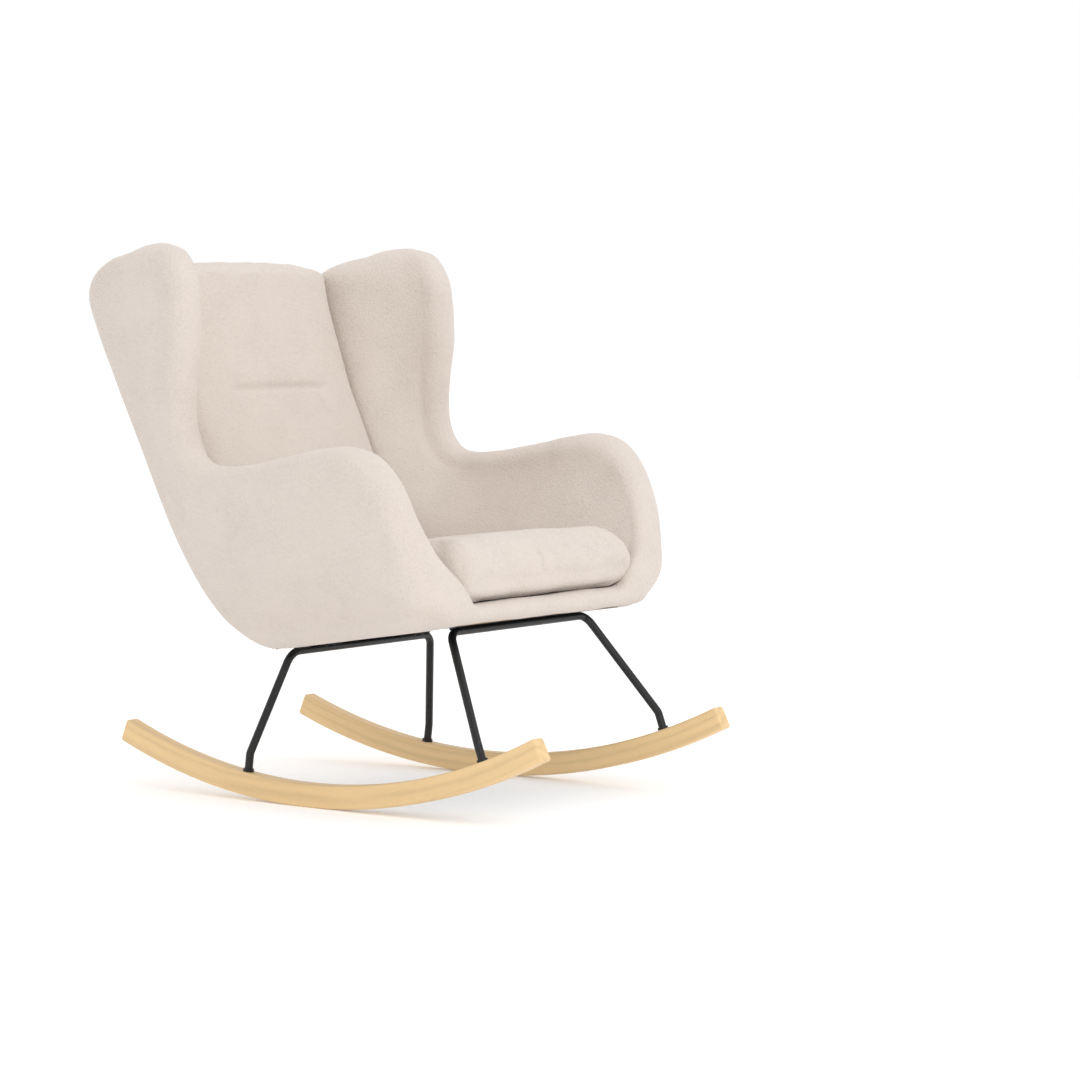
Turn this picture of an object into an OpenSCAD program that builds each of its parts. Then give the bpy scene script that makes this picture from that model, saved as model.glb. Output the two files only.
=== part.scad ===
// Upholstered wing chair on two bow-shaped wooden runners.
// +Z is up, the chair faces -Y and X runs across it.
// The origin is on the floor, midway between the runners and midway along them.

/* [Runners] */
// Radius of the arc that rolls on the floor
runner_radius = 1137; // [1000:1:1300]
// Depth of a runner, measured along the arc's radius
runner_depth = 40; // [34:1:46]
// Thickness of a runner from side to side
runner_width = 28; // [24:1:34]
// Distance from the origin to either end of a runner
runner_reach = 457.5; // [440:0.5:470]
// Distance between the middles of the runners, above the line where they touch the floor
runner_spacing = 515; // [505:1:525]
// Angle by which each runner toes out towards the front
runner_toe = 1.5; // [0:0.1:2]

/* [Legs] */
// Diameter of the bent steel rod
rod_d = 14; // [13:0.5:15]
// Inner radius of the bends under the seat, to the rod's middle
bend_radius = 28; // [24:1:32]
// Distance from the middle of the chair to the upper bends
leg_corner_x = 197; // [190:1:202]
// Angle of the chair's underside, higher at the front
seat_slope = 8.66; // [8.6:0.01:8.7]

/* [Seat] */
// Thickness of the wooden seat rails
rail_h = 24; // [20:1:24]
// Width of the loose cushion
cushion_w = 474; // [450:1:476]
// Depth of the loose cushion
cushion_l = 420; // [400:1:420]
// Thickness of the loose cushion
cushion_h = 88; // [76:1:90]
// Radius of the cushion's rounded edges
cushion_round = 34; // [26:1:36]

/* [Shell] */
// Thickness of the moulded plywood in the sides
side_ply = 12; // [9:1:12]
// Thickness of the moulded plywood in the back
back_ply = 6; // [6:1:9]
// Padding on the front of the back, at its edges
back_padding = 24; // [20:1:24]
// How far the middle of the back stands in front of its edges
back_crown = 18; // [8:1:20]

/* [Hidden] */
$fn = 48;
slit = 0.3;                       // air left between pieces that lie against each other
ply_slit = 0.8;                   // the same, on both faces of the curved plywood
ground_y = 37.5;                  // the runners touch the floor on this line
fabric = [0.86, 0.81, 0.77];
foam = [0.93, 0.89, 0.72];
timber = [0.87, 0.75, 0.56];
plywood = [0.82, 0.68, 0.47];
black_steel = [0.09, 0.09, 0.10];
zinc = [0.72, 0.73, 0.75];
black_cloth = [0.15, 0.15, 0.16];

// ---- small helpers ----
function mix(a, b, t) = a + (b - a) * t;
function clamp(v, lo, hi) = min(max(v, lo), hi);
function ease(t) = let (u = clamp(t, 0, 1)) u * u * (3 - 2 * u);
function unit(v) = v / norm(v);
function flip_x(v) = [-v.x, v.y, v.z];

// A smooth curve through the rows of a list, at the fractional row t.
function row_at(rows, i) = rows[clamp(i, 0, len(rows) - 1)];
function smooth_row(rows, t) =
    let (i = min(floor(t), len(rows) - 2), u = t - i,
        p = row_at(rows, i - 1), q = row_at(rows, i), r = row_at(rows, i + 1), s = row_at(rows, i + 2))
    (2 * q + (r - p) * u + (2 * p - 5 * q + 4 * r - s) * u * u + (3 * q - p - 3 * r + s) * u * u * u) / 2;

// A closed skin over a list of rings that have the same number of points.
// Each patch is cut along its shorter diagonal, so skins that share their rings lie together.
module loft(rings) {
    n = len(rings[0]);
    last = (len(rings) - 1) * n;
    points = [for (r = rings) each r];
    sides = [for (i = [0 : n : last - n], j = [0 : n - 1])
        let (a = i + j, b = i + (j + 1) % n, c = b + n, d = a + n)
        each (norm(points[a] - points[c]) < norm(points[b] - points[d])
            ? [[a, b, c], [a, c, d]]
            : [[a, b, d], [b, c, d]])];
    ends = [[for (j = [n - 1 : -1 : 0]) j], [for (j = [0 : n - 1]) last + j]];
    polyhedron(points, concat(sides, ends), convexity = 8);
}

// Every half step between two row numbers, and both ends.
function stations(first, last) =
    concat([first], [for (k = [floor(2 * first) + 1 : ceil(2 * last) - 1]) k / 2], [last]);

// Draws its children for the chair's left side, which is +X seen from the front.
module on_left() children();
module on_right() mirror([1, 0, 0]) children();
module both_sides() { on_left() children(); on_right() children(); }

// ---- where the legs stand ----
rod_r = rod_d / 2;
socket_depth = 8;
counterbore_depth = 10;
rear_foot_y = 138;                // behind the ground line
front_foot_y = -373;
rear_bar = [0, 125, 254];         // the middle of the rod under the rear of the seat
bar_gap = 345.5;                  // from the rear bar to the front one, along the underside
slope_y = [0, cos(seat_slope), -sin(seat_slope)];
slope_z = [0, sin(seat_slope), cos(seat_slope)];
front_bar = rear_bar - bar_gap * slope_y;
underside = rear_bar + rod_r * slope_z;
inner_radius = runner_radius - runner_depth;
foot_rise = 32;                   // the straight end of a leg above its runner

// The angle of the runner's radius through a foot, and points along that radius.
function foot_angle(y) = asin(y / inner_radius);
function foot_x(y) = runner_spacing / 2 - y * tan(runner_toe);
function on_radius(y, r) =
    [foot_x(y), ground_y + r * sin(foot_angle(y)), runner_radius - r * cos(foot_angle(y))];

// Things built on the chair's underside: y runs along it and z stands square to it.
module on_underside() translate(underside) rotate([-seat_slope, 0, 0]) children();

// ---- runners ----
module runner() {
    difference() {
        translate([runner_spacing / 2, ground_y, 0])
            rotate([0, 0, runner_toe])
                rotate([90, 0, 90])
                    linear_extrude(runner_width, center = true)
                        intersection() {
                            translate([0, runner_radius]) difference() {
                                circle(runner_radius, $fn = 360);
                                circle(inner_radius, $fn = 360);
                            }
                            translate([-ground_y - runner_reach, -1])
                                square([2 * runner_reach, 160]);
                        }
        for (y = [rear_foot_y, front_foot_y]) {
            radial(y, inner_radius - 1, inner_radius + socket_depth, rod_r + 0.05);
            radial(y, inner_radius, runner_radius - counterbore_depth + 1, 3.3);
            radial(y, runner_radius - counterbore_depth, runner_radius + 4, 7.5);
        }
    }
}

// A cylinder along the radius through a foot, from one radius to a larger one.
module radial(y, near, far, r, sides = $fn) {
    translate(on_radius(y, far))
        rotate([foot_angle(y), 0, 0])
            cylinder(h = far - near, r = r, $fn = sides);
}

module runner_left() color(timber) on_left() runner();
module runner_right() color(timber) on_right() runner();

module runner_bolts() color(zinc) both_sides()
    for (y = [rear_foot_y, front_foot_y]) {
        radial(y, runner_radius - counterbore_depth, runner_radius - counterbore_depth + 4, 6.5);
        radial(y, inner_radius + socket_depth - 22, runner_radius - counterbore_depth + 1, 2.95);
    }

module leg_collars() color(black_steel) both_sides()
    for (y = [rear_foot_y, front_foot_y])
        difference() {
            radial(y, inner_radius - 5, inner_radius - slit, rod_r + 2.5);
            radial(y, inner_radius - 6, inner_radius + 1, rod_r + 0.05);
        }

// ---- leg frames ----
// Points round a bend at corner c, between the directions towards and away from it.
function bend(c, from, to, radius) =
    let (turn = acos(from * to), reach = radius * tan(turn / 2),
        centre = c + unit(to - from) * radius / cos(turn / 2),
        start = c - from * reach - centre, steps = ceil(turn / 14))
    [for (i = [0 : steps]) let (a = turn * i / steps) centre + start * cos(a) + from * radius * sin(a)];

// The path's direction at its point i, and a ring of points round the path there.
function heading(path, i) =
    unit(path[min(i + 1, len(path) - 1)] - path[max(i - 1, 0)]);
function rod_ring(path, i) =
    let (t = heading(path, i), u = unit(cross(t, [0, 1, 0])), v = cross(t, u))
    [for (a = [0 : 20 : 340]) path[i] + rod_r * (u * cos(a) + v * sin(a))];

// The middle line of a leg frame: up one leg, across the bar and down the other.
function half_path(bar, foot_y) =
    let (foot = on_radius(foot_y, inner_radius + socket_depth - slit),
        ankle = on_radius(foot_y, inner_radius - foot_rise), corner = [leg_corner_x, bar.y, bar.z],
        up = unit(corner - ankle), out = unit(ankle - foot))
    concat([foot], bend(ankle, out, up, 22), bend(corner, up, [-1, 0, 0], bend_radius));

module leg_frame(bar, foot_y) {
    half = half_path(bar, foot_y);
    path = concat(half, [for (i = [len(half) - 1 : -1 : 0]) flip_x(half[i])]);
    difference() {
        loft([for (i = [0 : len(path) - 1]) rod_ring(path, i)]);
        both_sides() radial(foot_y, inner_radius + socket_depth - 24, inner_radius + socket_depth + 1, 3.3, 10);
    }
}

module rear_leg_frame() color(black_steel) leg_frame(rear_bar, rear_foot_y);
module front_leg_frame() color(black_steel) leg_frame(front_bar, front_foot_y);

// ---- plates and screws that hold the leg frames to the seat ----
plate_x = 125;
plate_w = 44;
plate_l = 36;
plate_t = 4;
screw_pitch = 24;
screw_y = 25;                     // from the bar's middle to the screws

// The four plates: at each end of each bar, reaching towards the middle of the seat.
module at_plates()
    on_underside()
        for (x = [-plate_x, plate_x], bar = [[0, 180], [-bar_gap, 0]])
            translate([x, bar[0], 0]) rotate([0, 0, bar[1]]) children();

module at_plate_screws()
    at_plates() for (x = [-screw_pitch / 2, screw_pitch / 2]) translate([x, screw_y, 0]) children();

module mount_plates() color(black_steel)
    difference() {
        at_plates() translate([-plate_w / 2, 3, -plate_t]) cube([plate_w, plate_l, plate_t - slit]);
        at_plates() translate([0, 0, -rod_r]) rotate([0, 90, 0])
            cylinder(h = plate_w + 2, r = rod_r + 0.05, center = true);
        at_plate_screws() translate([0, 0, -plate_t - 1]) cylinder(h = plate_t + 2, r = 2.8);
    }

module plate_screws() color(zinc)
    at_plate_screws() {
        translate([0, 0, -plate_t - 2.6]) cylinder(h = 2.6, r = 4.6);
        translate([0, 0, -plate_t - 0.1]) cylinder(h = 22, r = 2.45);
    }

module screw_holes() at_plate_screws() translate([0, 0, -1]) cylinder(h = 20, r = 2.55);

// ---- seat box, measured on the underside from the rear bar ----
cloth_t = 1.2;
rail_z = cloth_t + slit;
box_x = 237.5;                    // half of the width over the side rails
side_rail_t = 34;
front_rail_y = [-396, -300];
rear_rail_y = [-66, 8];
deck_z = rail_z + rail_h + slit + 1.5;
deck_t = 9;
cushion_z = deck_z + deck_t + 1.5;
bolt_y = [-250, -112];
bolt_z = 15;

module board_y(y0, y1, half_w) translate([-half_w, y0, rail_z]) cube([2 * half_w, y1 - y0, rail_h]);

module front_rail() color(timber) difference() {
    on_underside() board_y(front_rail_y[0], front_rail_y[1] - slit, box_x);
    screw_holes();
}

module rear_rail() color(timber) difference() {
    on_underside() board_y(rear_rail_y[0] + slit, rear_rail_y[1], box_x);
    screw_holes();
}

module side_rail() on_underside() difference() {
    translate([box_x - side_rail_t, front_rail_y[1], rail_z])
        cube([side_rail_t, rear_rail_y[0] - front_rail_y[1], rail_h]);
    at_side_bolts(0) translate([0, 0, -1]) cylinder(h = 100, r = 4);
}

// The bolts run outwards along X from inside the seat box.
module at_side_bolts(x)
    for (y = bolt_y) translate([box_x - side_rail_t + x, y, bolt_z]) rotate([0, 90, 0]) children();

module left_rail() color(timber) on_left() side_rail();
module right_rail() color(timber) on_right() side_rail();

module side_bolts() color(zinc) both_sides() on_underside() {
    at_side_bolts(-5.5) cylinder(h = 5.2, r = 7.5);
    at_side_bolts(-0.4) cylinder(h = side_rail_t + 22, r = 3.95);
}

module corner_blocks() color(timber) both_sides() on_underside()
    for (c = [[front_rail_y[1] + slit, 1], [rear_rail_y[0] - slit, -1]])
        translate([box_x - side_rail_t - slit, c[0], rail_z + 2])
            linear_extrude(rail_h - 4) polygon([[0, 0], [-44, 0], [0, 30 * c[1]]]);

module seat_webbing() color(black_cloth) on_underside()
    for (x = [-160 : 80 : 160])
        translate([x - 30, front_rail_y[0] + 30, rail_z + rail_h + slit])
            cube([60, rear_rail_y[1] - front_rail_y[0] - 40, 1.2]);

module dust_cover() color(black_cloth) difference() {
    on_underside() translate([4 - box_x, front_rail_y[0] + 4, 0])
        cube([2 * box_x - 8, rear_rail_y[1] - front_rail_y[0] - 8, cloth_t]);
    at_plate_screws() translate([0, 0, -1]) cylinder(h = 4, r = 3);
}

module seat_deck_pad() color(foam) on_underside()
    translate([-box_x + 1, front_rail_y[0], deck_z])
        cube([2 * box_x - 2, -12 - front_rail_y[0], deck_t]);

// The soft front edge under the cushion, with a rounded nose.
module front_rail_pad() color(fabric) on_underside() {
    nose = 17;
    top = deck_z + deck_t;
    translate([1 - box_x, front_rail_y[0] - slit, 0])
        rotate([90, 0, 90])
            linear_extrude(2 * box_x - 2)
                union() {
                    translate([-12, 0]) square([12, top]);
                    translate([-26, nose]) square([15, top - 2 * nose]);
                    for (z = [nose, top - nose])
                        translate([-12, z]) intersection() {
                            circle(nose);
                            translate([-nose, -nose]) square([nose, 2 * nose]);
                        }
                }
}

// ---- sides: each row is one slice, from the lower or rear edge to the upper or front edge ----
// [rear y, rear z, front y, front z, outer x at rear, inner x at rear, outer x and inner x at front]
side_rows = [
    [352, 940, 268, 948, 352, 312, 356, 328],
    [396, 929, 234, 938, 364, 282, 374, 322],
    [430, 905, 209, 905, 368, 256, 386, 320],
    [446, 862, 199, 850, 368, 248, 390, 320],
    [422, 800, 198, 786, 367, 246, 391, 320],
    [382, 722, 206, 722, 366, 243, 390, 321],
    [337, 632, 209, 665, 360, 240, 389, 322],
    [299, 552, 200, 618, 350, 238, 388, 322],
    [265, 476, 175, 588, 342, 238, 390, 322],
    [229, 400, 135, 580, 332, 238, 392, 323],
    [197, 345,  75, 584, 322, 238, 394, 324],
    [159, 300,   5, 597, 306, 238, 396, 325],
    [100, 268, -68, 612, 294, 238, 397, 325],
    [ 37, 274, -135, 619, 290, 238, 397, 325],
    [-23, 283, -185, 606, 290, 238, 396, 322],
    [-83, 292, -225, 566, 290, 238, 394, 316],
    [-143, 301, -251, 505, 290, 238, 388, 306],
    [-195, 309, -264, 450, 290, 238, 376, 288],
    [-232, 315, -270, 405, 288, 239, 352, 264],
    [-262, 326, -272, 368, 272, 240, 306, 244]];
roll_l = 58;                      // length of the rolled edge past the plywood
outer_padding = 14;
rear_padding = 8;
post_depth = 14;
lining = 5;                       // cloth and wadding over the inner face of the post
post_gap = 28;                    // from the rear padding to the inner padding, past the post
wing_foot = 10;                   // the row at which the wing meets the arm

function side_slice(t) = smooth_row(side_rows, t);
function slice_length(q) = norm([q[2] - q[0], q[3] - q[1]]);
// The x of the outer and the inner face, at the distance s from the slice's rear edge.
function outer_x(q, s) = mix(q[4], q[6], sin(90 * clamp(s / slice_length(q) / 0.55, 0, 1)));
function inner_x(q, s) = mix(q[5], q[7], ease((s / slice_length(q) - 0.2) / 0.7));
function ply_x(q, s) = outer_x(q, s) - outer_padding - side_ply / 2;
function slice_point(q, x, s) =
    let (t = s / slice_length(q)) [x, mix(q[0], q[2], t), mix(q[1], q[3], t)];
function roll(q) = min(roll_l, 0.42 * slice_length(q));
function shoulder(q) = min(40, 0.3 * slice_length(q));

// Points along a face of a slice, as [x, s], between two distances.
function outer_face(q, s0, s1, n) = [for (i = [0 : n]) let (s = mix(s0, s1, i / n)) [outer_x(q, s), s]];
function inner_face(q, s0, s1, n) = [for (i = [0 : n]) let (s = mix(s0, s1, i / n)) [inner_x(q, s), s]];
// The distances at which the plywood and all that lies against it have their points.
function ply_s(q, i) = let (rear = rear_padding + 1, inner = rear_padding + post_gap)
    i == 0 ? rear : mix(inner, slice_length(q) - roll(q), (i - 1) / 5);
function ply_face(q, side, from, to, step = 1) =
    [for (i = [from : step : to]) [ply_x(q, ply_s(q, i)) + side, ply_s(q, i)]];
// The rounded front edge, from the outer face over to the inner one.
function front_round(q) =
    let (l = slice_length(q), r = (q[6] - q[7]) / 2, a = min(r, 0.35 * l), c = (q[6] + q[7]) / 2)
    [for (i = [0 : 8]) [c + r * cos(22.5 * i), l - a + a * sin(22.5 * i)]];
function front_start(q) = slice_length(q) - min((q[6] - q[7]) / 2, 0.35 * slice_length(q));

function outer_ring(q) =
    let (r = shoulder(q), l = slice_length(q), stop = l - roll(q) - slit)
    concat([[q[5], 0]],
        [for (i = [0 : 4]) [outer_x(q, r) - r + r * sin(22.5 * i), r - r * cos(22.5 * i)]],
        outer_face(q, mix(r, stop, 0.2), stop, 4),
        ply_face(q, side_ply / 2 + ply_slit, 6, 0, -1),
        [[q[5], rear_padding]]);
function ply_ring(q) = concat(
    ply_face(q, side_ply / 2, 0, 5), [[ply_x(q, ply_end(q)) + side_ply / 2, ply_end(q)]],
    [[ply_x(q, ply_end(q)) - side_ply / 2, ply_end(q)]], ply_face(q, -side_ply / 2, 5, 0, -1));
function ply_end(q) = ply_s(q, 6) - ply_slit;
// The post's outer face lies along the plywood's first flat, between its points 0 and 1.
function post_ring(q) =
    let (low = ply_s(q, 0), high = rear_padding + post_depth, side = -side_ply / 2 - 2 * ply_slit,
        high_x = mix(ply_x(q, low), ply_x(q, ply_s(q, 1)), (high - low) / (ply_s(q, 1) - low)))
    [[ply_x(q, low) + side, low], [high_x + side, high], [q[5] + lining, high], [q[5] + lining, low]];
function inner_ring(q) =
    let (low = ply_s(q, 1), step = ply_s(q, 6))
    concat([[outer_x(q, step), step]], front_round(q),
        inner_face(q, mix(front_start(q), low, 0.1), low, 8),
        ply_face(q, -side_ply / 2 - ply_slit, 1, 6));

// A skin over the slices between two row numbers.
module side_loft(first, last, kind)
    loft([for (t = stations(first, last))
        let (q = side_slice(t),
            ring = kind == 0 ? outer_ring(q) : kind == 1 ? inner_ring(q) : kind == 2 ? ply_ring(q) : post_ring(q))
        [for (p = ring) slice_point(q, p[0], p[1])]]);

module outer_pad() side_loft(0, 19, 0);
module wing_pad() side_loft(0, wing_foot - 0.005, 1);
module arm_pad() side_loft(wing_foot + 0.005, 19, 1);
module side_board() side_loft(1, 18.5, 2);
module rear_post() side_loft(2, 11.49, 3);
module sill() difference() {
    side_loft(11.5, 18, 3);
    on_underside() at_side_bolts(0) cylinder(h = 90, r = 4);
}

module left_outer_pad() color(fabric) on_left() outer_pad();
module right_outer_pad() color(fabric) on_right() outer_pad();
module left_wing_pad() color(fabric) on_left() wing_pad();
module right_wing_pad() color(fabric) on_right() wing_pad();
module left_arm_pad() color(fabric) on_left() arm_pad();
module right_arm_pad() color(fabric) on_right() arm_pad();
module left_side_board() color(plywood) on_left() side_board();
module right_side_board() color(plywood) on_right() side_board();
module left_rear_post() color(timber) on_left() rear_post();
module right_rear_post() color(timber) on_right() rear_post();
module left_sill() color(timber) on_left() sill();
module right_sill() color(timber) on_right() sill();

// ---- back: each row is one level, [z, y of the front at its edges, y of the rear] ----
back_rows = [
    [264, 107, 147], [294, 112, 164], [326, 141, 184], [345, 154, 198], [385, 178, 222],
    [440, 205, 248], [530, 250, 291], [623, 293, 334], [711, 332, 377], [815, 366, 428],
    [880, 384, 446], [912, 392, 440]];
rear_crown = 14;
rear_pad_t = 10;
board_dish = 6;                   // how far the plywood is hollowed in the middle
pad_foot = 2;                     // the row at which the inner pad and the plywood start
function back_half_w(z) = 236.5 + 10 * clamp((z - 560) / 300, 0, 1.2);

function back_levels(first, last) = [for (t = stations(first, last)) smooth_row(back_rows, t)];
// The bulge of the back's front grows from nothing at the foot, to make room for the cushion.
function front_bulge(z) = back_crown * ease((z - 330) / 170);
// A slab between two depths, each with its own bulge in the middle, at one level.
function back_ring(z, near, near_bulge, far, far_bulge, trim = 0) =
    let (w = back_half_w(z) - trim)
    concat([for (i = [-6 : 6]) [w * i / 6, near - near_bulge * (1 - pow(i / 6, 2)), z]],
        [for (i = [6 : -1 : -6]) [w * i / 6, far + far_bulge * (1 - pow(i / 6, 2)), z]]);

module inner_back_pad() color(fabric)
    loft(concat(
        [for (r = back_levels(pad_foot, 11))
            back_ring(r[0], r[1], front_bulge(r[0]), r[1] + back_padding, -board_dish)],
        [back_ring(926, 400, 8, 416, -board_dish, 8)]));

module back_board() color(plywood)
    loft([for (r = back_levels(pad_foot + 0.5, 10.5)) let (near = r[1] + back_padding + slit)
        back_ring(r[0], near, board_dish, near + back_ply, -board_dish, 6)]);

module outer_back_pad() color(fabric)
    loft([for (r = back_levels(0, 11)) back_ring(r[0], r[2] - rear_pad_t, -rear_crown, r[2], rear_crown)]);

// ---- loose seat cushion ----
// A box with every edge rounded, made of rings along y; inset shrinks it on all sides.
function rounded_ring(half_w, half_h, r, y) =
    [for (c = [[1, 1, 0], [-1, 1, 90], [-1, -1, 180], [1, -1, 270]], i = [0 : 5])
        [c[0] * (half_w - r) + r * cos(c[2] + 18 * i), y, c[1] * (half_h - r) + r * sin(c[2] + 18 * i)]];
function pillow_rings(inset) =
    let (w = cushion_w / 2 - inset, l = cushion_l / 2 - inset, h = cushion_h / 2 - inset,
        r = cushion_round - inset, turns = [for (i = [0 : 5]) 4 + 17.2 * i])
    concat(
        [for (a = turns) let (cut = r * (1 - sin(a))) rounded_ring(w - cut, h - cut, r - cut, r - r * cos(a) - l)],
        [for (i = [5 : -1 : 0])
            let (a = turns[i], cut = r * (1 - sin(a))) rounded_ring(w - cut, h - cut, r - cut, l - r + r * cos(a))]);

cushion_rear = -8;
module at_cushion() on_underside()
    translate([0, cushion_rear - cushion_l / 2, cushion_z + cushion_h / 2]) children();

module cushion_cover() color(fabric) at_cushion() difference() {
    loft([for (r = pillow_rings(0)) r]);
    loft([for (r = pillow_rings(2)) r]);
}
module cushion_foam() color(foam) at_cushion() loft(pillow_rings(2.3));

zip_l = 360;
module cushion_zip() color(black_cloth) at_cushion()
    translate([-zip_l / 2, cushion_l / 2 + slit, -11]) cube([zip_l, 1.2, 22]);
module zip_slider() color(zinc) at_cushion()
    translate([zip_l / 2 - 12, cushion_l / 2 + 1.8, -4]) {
        cube([10, 2.4, 8]);
        translate([2.5, 0.6, -20]) cube([5, 1, 20.2]);
    }

runner_left();
runner_right();
runner_bolts();
leg_collars();
rear_leg_frame();
front_leg_frame();
mount_plates();
plate_screws();
front_rail();
rear_rail();
left_rail();
right_rail();
corner_blocks();
seat_webbing();
dust_cover();
seat_deck_pad();
front_rail_pad();
side_bolts();
left_side_board();
right_side_board();
left_rear_post();
right_rear_post();
left_sill();
right_sill();
left_wing_pad();
right_wing_pad();
left_arm_pad();
right_arm_pad();
left_outer_pad();
right_outer_pad();
back_board();
inner_back_pad();
outer_back_pad();
cushion_cover();
cushion_foam();
cushion_zip();
zip_slider();
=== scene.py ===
"""An upholstered rocking chair on two bow-shaped runners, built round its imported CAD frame."""

import math

import bmesh
import bpy
import numpy as np
from bpy.props import FloatProperty, FloatVectorProperty, PointerProperty
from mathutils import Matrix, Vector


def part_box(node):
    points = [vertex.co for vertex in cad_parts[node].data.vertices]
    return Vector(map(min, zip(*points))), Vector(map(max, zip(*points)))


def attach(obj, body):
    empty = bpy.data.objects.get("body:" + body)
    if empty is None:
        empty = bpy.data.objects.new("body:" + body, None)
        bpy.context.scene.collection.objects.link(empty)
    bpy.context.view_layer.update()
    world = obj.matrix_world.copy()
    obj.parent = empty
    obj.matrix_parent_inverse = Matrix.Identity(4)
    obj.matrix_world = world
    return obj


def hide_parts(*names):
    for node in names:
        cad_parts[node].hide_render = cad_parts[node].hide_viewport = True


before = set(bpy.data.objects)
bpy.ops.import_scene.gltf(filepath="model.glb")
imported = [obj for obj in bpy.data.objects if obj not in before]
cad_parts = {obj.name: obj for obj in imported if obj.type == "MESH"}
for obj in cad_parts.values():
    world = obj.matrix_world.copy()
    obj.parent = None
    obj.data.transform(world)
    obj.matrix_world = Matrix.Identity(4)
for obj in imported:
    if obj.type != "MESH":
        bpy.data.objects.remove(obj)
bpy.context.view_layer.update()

bl_info = {
    "name": "Rocking Chair",
    "version": (1, 0, 0),
    "blender": (4, 5, 0),
    "location": "View3D > Sidebar > Rocking Chair",
    "description": "Builds the covers, frame pieces and materials of an upholstered rocking chair",
    "category": "Object",
}

MM = 0.001
BLOW_FRAMES = 20

# ---- the shape of the sides, in millimetres ----
# Each row is a slice from the rear or lower edge to the front or upper edge:
# rear y, rear z, front y, front z, outer x and inner x at the rear, outer x and inner x at the front.
SIDE_ROWS = np.array([
    [352, 939, 268, 952, 352, 312, 356, 328],
    [396, 928, 234, 943, 364, 282, 374, 322],
    [430, 905, 209, 905, 368, 256, 386, 320],
    [446, 862, 199, 850, 368, 248, 390, 320],
    [422, 800, 198, 786, 367, 246, 391, 320],
    [382, 722, 206, 722, 366, 243, 390, 321],
    [337, 632, 209, 665, 360, 240, 389, 322],
    [299, 552, 200, 618, 350, 238, 388, 322],
    [265, 476, 175, 588, 342, 238, 390, 322],
    [229, 400, 135, 580, 332, 238, 392, 323],
    [197, 345, 75, 584, 322, 238, 394, 324],
    [159, 300, 5, 597, 306, 238, 396, 325],
    [100, 268, -68, 612, 294, 238, 397, 325],
    [37, 274, -135, 619, 290, 238, 397, 325],
    [-23, 283, -185, 606, 290, 238, 396, 322],
    [-83, 292, -225, 566, 290, 238, 394, 316],
    [-143, 301, -254, 505, 290, 238, 388, 308],
    [-195, 309, -273, 450, 290, 236, 377, 280],
    [-232, 315, -288, 405, 288, 230, 356, 232],
    [-262, 324, -295, 366, 272, 222, 310, 218]], float)
# Each row is a level of the back: z, y of the front at its edges, y of the rear at its edges.
BACK_ROWS = np.array([
    [264, 107, 147], [294, 112, 164], [326, 141, 184], [345, 154, 198], [385, 178, 222],
    [440, 205, 248], [530, 250, 291], [623, 293, 334], [711, 332, 377], [815, 366, 428],
    [880, 384, 446], [912, 392, 440]], float)


# ---- curves and meshes worked out as arrays ----
def mix(a, b, t):
    """The point at the share t of the way from a to b."""
    return a + (b - a) * t


def ease(t):
    """A smooth step: 3 t squared less 2 t cubed, with t held between 0 and 1."""
    u = np.clip(t, 0, 1)
    return u * u * (3 - 2 * u)


def bump_curve(x, width):
    """A bell: e to the power of minus x over width, squared."""
    return np.exp(-(x / width) ** 2)


def along_rows(rows, t):
    """A cubic through the rows: each span blends its own two rows and their neighbours."""
    last = len(rows) - 1
    i = np.minimum(t.astype(int), last - 1)
    u = (t - i)[:, None]
    p, q, r, s = (rows[np.clip(i + k, 0, last)] for k in (-1, 0, 1, 2))
    return (2 * q + (r - p) * u + (2 * p - 5 * q + 4 * r - s) * u ** 2
            + (3 * q - p - 3 * r + s) * u ** 3) / 2


def steps(count, first=0.0, last=1.0):
    """Evenly spaced values as one row."""
    return np.linspace(first, last, count)[None, :]


def turning(path):
    """The unit direction of a path at each of its points, from the points on either side."""
    d = np.gradient(path, axis=0)
    return d / np.linalg.norm(d, axis=1)[:, None]


def grid_quads(rings, points, closed=True):
    """The quads between neighbouring rings of a grid, each ring closed on itself if asked."""
    i = np.arange(rings - 1)[:, None] * points
    j = np.arange(points if closed else points - 1)[None, :]
    k = (j + 1) % points
    return np.stack([i + j, i + k, i + k + points, i + j + points], -1).reshape(-1, 4)


def add_object(name, mesh):
    """Puts a mesh in the scene as an object at the origin."""
    piece = bpy.data.objects.new(name, mesh)
    bpy.context.scene.collection.objects.link(piece)
    return piece


def joined(parts):
    """Joins pieces into the first of them."""
    with bpy.context.temp_override(active_object=parts[0], selected_editable_objects=parts,
                                   selected_objects=parts, object=parts[0]):
        bpy.ops.object.join()
    return parts[0]


def face_outwards(mesh):
    """Merges doubles and turns every face outwards."""
    work = bmesh.new()
    work.from_mesh(mesh)
    bmesh.ops.remove_doubles(work, verts=work.verts, dist=1e-6)
    bmesh.ops.recalc_face_normals(work, faces=work.faces)
    work.to_mesh(mesh)
    work.free()


def mesh_of(name, points, faces):
    """An object from points in metres and faces as index lists."""
    mesh = bpy.data.meshes.new(name)
    mesh.from_pydata(np.asarray(points).reshape(-1, 3).tolist(), [], faces)
    mesh.validate()
    face_outwards(mesh)
    mesh.shade_smooth()
    return add_object(name, mesh)


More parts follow.
